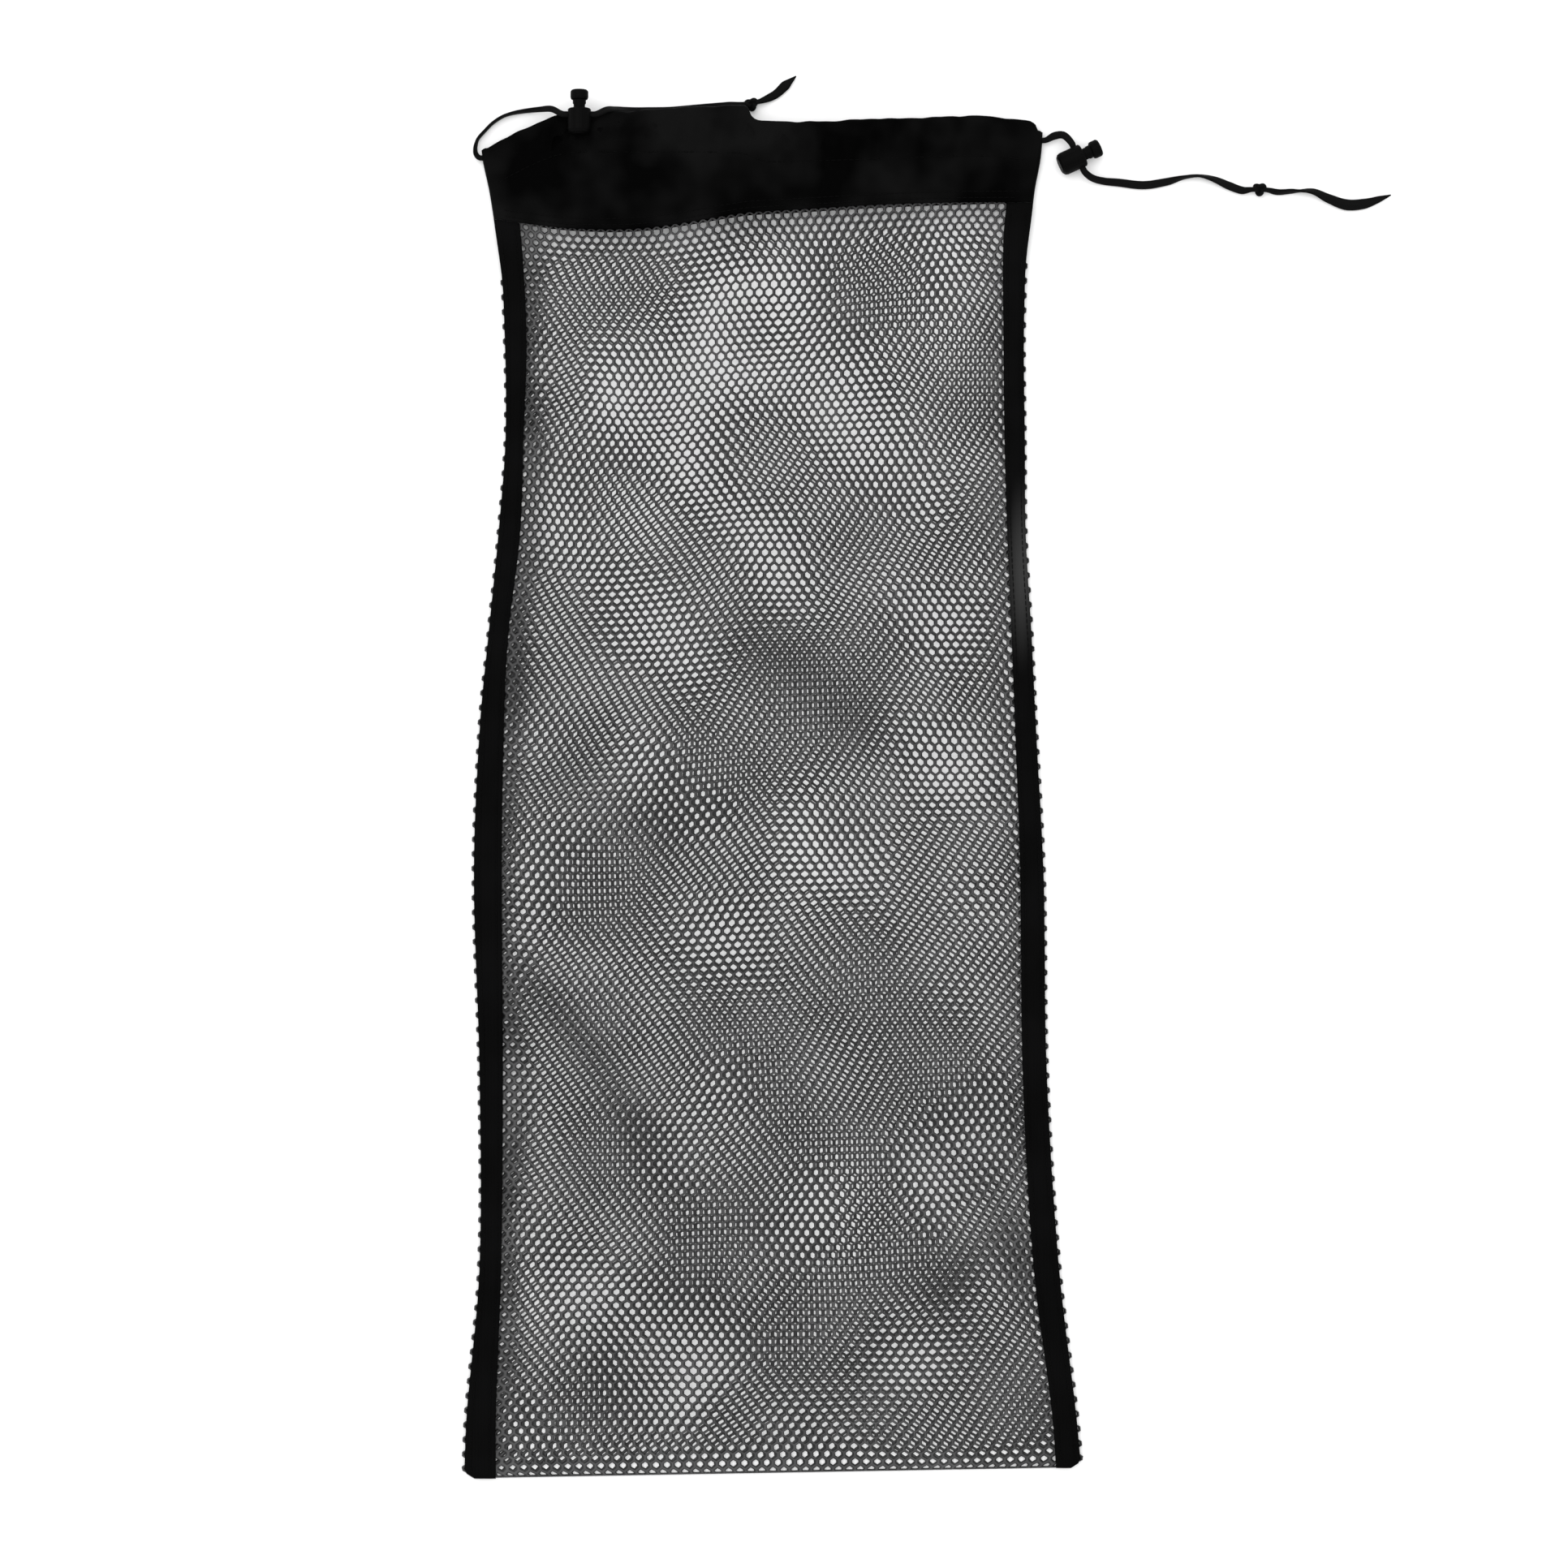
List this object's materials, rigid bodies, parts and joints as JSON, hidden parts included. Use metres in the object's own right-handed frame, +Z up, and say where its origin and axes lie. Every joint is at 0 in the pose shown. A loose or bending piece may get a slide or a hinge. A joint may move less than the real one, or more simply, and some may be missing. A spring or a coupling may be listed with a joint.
{
  "type": "mesh dive gear bag",
  "caption": "Long flat drawstring gear bag of coarse black net with taped side seams, a nylon casing round the mouth and a drawcord with a sprung lock at each side",
  "frame": {"origin": "on the floor under the middle of the bag, as it lies on its back, without its cords", "axes": "+X across the bag to the right as seen from above, +Y along the bag to its mouth, +Z up from the floor"},
  "size_m": [0.5244, 0.7909, 0.0237],
  "materials": {
    "net_cord": "knotless knitted net of black synthetic cord, soft sheen",
    "tape": "smooth black woven seam tape",
    "casing_nylon": "plain black coated nylon, faintly wrinkled",
    "drawcord": "flat braided black cord",
    "lock_plastic": "moulded black plastic"
  },
  "bodies": {
    "bag": {"net_back": "net_cord", "net_front": "net_cord", "side_tape_left": "tape", "side_tape_right": "tape", "casing": "casing_nylon", "cord_lock_left": "lock_plastic", "drawcord_left": "drawcord", "knot_left": "drawcord", "cord_tail_left": "drawcord", "cord_lock_right": "lock_plastic", "drawcord_right": "drawcord", "knot_right": "drawcord", "cord_tail_right": "drawcord"},
    "button_left": {"lock_button_left": "lock_plastic"},
    "button_right": {"lock_button_right": "lock_plastic"}
  },
  "joints": [
    {"name": "press_left", "type": "slide", "parent": "bag", "child": "button_left", "axis": [0, -1, 0], "range_m": [0, 0.004], "stiffness_N_per_m": 300},
    {"name": "press_right", "type": "slide", "parent": "bag", "child": "button_right", "axis": [-0.9063, -0.4226, 0], "range_m": [0, 0.004], "stiffness_N_per_m": 300}
  ]
}
